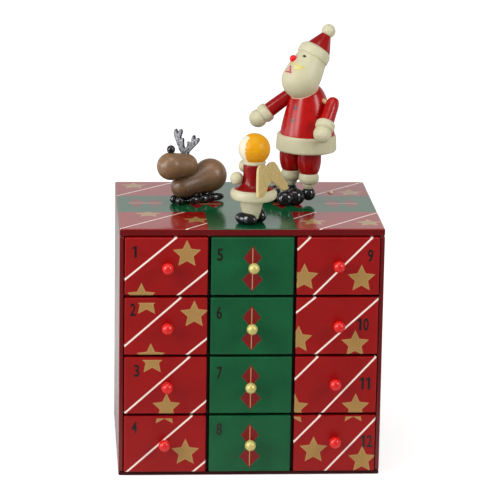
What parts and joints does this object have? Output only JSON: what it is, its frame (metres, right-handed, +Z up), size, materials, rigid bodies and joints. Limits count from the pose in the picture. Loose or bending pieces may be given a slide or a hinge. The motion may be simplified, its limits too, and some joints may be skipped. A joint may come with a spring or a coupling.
{
  "type": "advent calendar box",
  "caption": "Wooden advent calendar box with numbered pull-out drawers on its front and back, and a turned Santa, an angel and a reindeer pegged to its top.",
  "frame": {"origin": "middle of the bottom face, on the surface the box stands on", "axes": "+Z up, +X to the right of the front face, +Y from the front face to the back face"},
  "size_m": [0.2, 0.19, 0.3324],
  "materials": {
    "red_paint": "gloss",
    "green_paint": "gloss",
    "cream_paint": "satin",
    "black_paint": "high gloss",
    "gold_paint": "metallic paint, satin",
    "bare_wood": "plain, unpainted",
    "brown_stain": "gloss varnish over stain",
    "hair_paint": "gloss"
  },
  "bodies": {
    "case": {"top_panel": "red_paint", "bottom_panel": "red_paint", "left_side_panel": "red_paint", "right_side_panel": "red_paint", "centre_board": "bare_wood", "front_grid": "bare_wood", "back_grid": "bare_wood", "santa_hat": "red_paint", "santa_head": "cream_paint", "santa_torso": "red_paint", "santa_coat_band": "cream_paint", "santa_right_arm": "red_paint", "santa_left_arm": "red_paint", "santa_right_leg": "red_paint", "santa_left_leg": "red_paint", "santa_right_boot": "black_paint", "santa_left_boot": "black_paint", "angel_head": "hair_paint", "angel_body": "red_paint", "angel_wings": "bare_wood", "angel_shoes": "black_paint", "reindeer_body": "brown_stain", "reindeer_head": "brown_stain", "reindeer_antlers": "black_paint"},
    "drawer_01": {"drawer_01": "red_paint", "knob_01": "red_paint"},
    "drawer_02": {"drawer_02": "red_paint", "knob_02": "red_paint"},
    "drawer_03": {"drawer_03": "red_paint", "knob_03": "red_paint"},
    "drawer_04": {"drawer_04": "red_paint", "knob_04": "red_paint"},
    "drawer_05": {"drawer_05": "green_paint", "knob_05": "gold_paint"},
    "drawer_06": {"drawer_06": "green_paint", "knob_06": "gold_paint"},
    "drawer_07": {"drawer_07": "green_paint", "knob_07": "gold_paint"},
    "drawer_08": {"drawer_08": "green_paint", "knob_08": "gold_paint"},
    "drawer_09": {"drawer_09": "red_paint", "knob_09": "red_paint"},
    "drawer_10": {"drawer_10": "red_paint", "knob_10": "red_paint"},
    "drawer_11": {"drawer_11": "red_paint", "knob_11": "red_paint"},
    "drawer_12": {"drawer_12": "red_paint", "knob_12": "red_paint"},
    "drawer_13": {"drawer_13": "red_paint"},
    "drawer_14": {"drawer_14": "red_paint"},
    "drawer_15": {"drawer_15": "red_paint"},
    "drawer_16": {"drawer_16": "red_paint"},
    "drawer_17": {"drawer_17": "green_paint"},
    "drawer_18": {"drawer_18": "green_paint"},
    "drawer_19": {"drawer_19": "green_paint"},
    "drawer_20": {"drawer_20": "green_paint"},
    "drawer_21": {"drawer_21": "red_paint"},
    "drawer_22": {"drawer_22": "red_paint"},
    "drawer_23": {"drawer_23": "red_paint"},
    "drawer_24": {"drawer_24": "red_paint"}
  },
  "joints": [
    {"name": "drawer_01_slide", "type": "slide", "parent": "case", "child": "drawer_01", "axis": [0, -1, 0], "range_m": [0, 0.06]},
    {"name": "drawer_02_slide", "type": "slide", "parent": "case", "child": "drawer_02", "axis": [0, -1, 0], "range_m": [0, 0.06]},
    {"name": "drawer_03_slide", "type": "slide", "parent": "case", "child": "drawer_03", "axis": [0, -1, 0], "range_m": [0, 0.06]},
    {"name": "drawer_04_slide", "type": "slide", "parent": "case", "child": "drawer_04", "axis": [0, -1, 0], "range_m": [0, 0.06]},
    {"name": "drawer_05_slide", "type": "slide", "parent": "case", "child": "drawer_05", "axis": [0, -1, 0], "range_m": [0, 0.06]},
    {"name": "drawer_06_slide", "type": "slide", "parent": "case", "child": "drawer_06", "axis": [0, -1, 0], "range_m": [0, 0.06]},
    {"name": "drawer_07_slide", "type": "slide", "parent": "case", "child": "drawer_07", "axis": [0, -1, 0], "range_m": [0, 0.06]},
    {"name": "drawer_08_slide", "type": "slide", "parent": "case", "child": "drawer_08", "axis": [0, -1, 0], "range_m": [0, 0.06]},
    {"name": "drawer_09_slide", "type": "slide", "parent": "case", "child": "drawer_09", "axis": [0, -1, 0], "range_m": [0, 0.06]},
    {"name": "drawer_10_slide", "type": "slide", "parent": "case", "child": "drawer_10", "axis": [0, -1, 0], "range_m": [0, 0.06]},
    {"name": "drawer_11_slide", "type": "slide", "parent": "case", "child": "drawer_11", "axis": [0, -1, 0], "range_m": [0, 0.06]},
    {"name": "drawer_12_slide", "type": "slide", "parent": "case", "child": "drawer_12", "axis": [0, -1, 0], "range_m": [0, 0.06]},
    {"name": "drawer_13_slide", "type": "slide", "parent": "case", "child": "drawer_13", "axis": [0, 1, 0], "range_m": [0, 0.06]},
    {"name": "drawer_14_slide", "type": "slide", "parent": "case", "child": "drawer_14", "axis": [0, 1, 0], "range_m": [0, 0.06]},
    {"name": "drawer_15_slide", "type": "slide", "parent": "case", "child": "drawer_15", "axis": [0, 1, 0], "range_m": [0, 0.06]},
    {"name": "drawer_16_slide", "type": "slide", "parent": "case", "child": "drawer_16", "axis": [0, 1, 0], "range_m": [0, 0.06]},
    {"name": "drawer_17_slide", "type": "slide", "parent": "case", "child": "drawer_17", "axis": [0, 1, 0], "range_m": [0, 0.06]},
    {"name": "drawer_18_slide", "type": "slide", "parent": "case", "child": "drawer_18", "axis": [0, 1, 0], "range_m": [0, 0.06]},
    {"name": "drawer_19_slide", "type": "slide", "parent": "case", "child": "drawer_19", "axis": [0, 1, 0], "range_m": [0, 0.06]},
    {"name": "drawer_20_slide", "type": "slide", "parent": "case", "child": "drawer_20", "axis": [0, 1, 0], "range_m": [0, 0.06]},
    {"name": "drawer_21_slide", "type": "slide", "parent": "case", "child": "drawer_21", "axis": [0, 1, 0], "range_m": [0, 0.06]},
    {"name": "drawer_22_slide", "type": "slide", "parent": "case", "child": "drawer_22", "axis": [0, 1, 0], "range_m": [0, 0.06]},
    {"name": "drawer_23_slide", "type": "slide", "parent": "case", "child": "drawer_23", "axis": [0, 1, 0], "range_m": [0, 0.06]},
    {"name": "drawer_24_slide", "type": "slide", "parent": "case", "child": "drawer_24", "axis": [0, 1, 0], "range_m": [0, 0.06]}
  ]
}
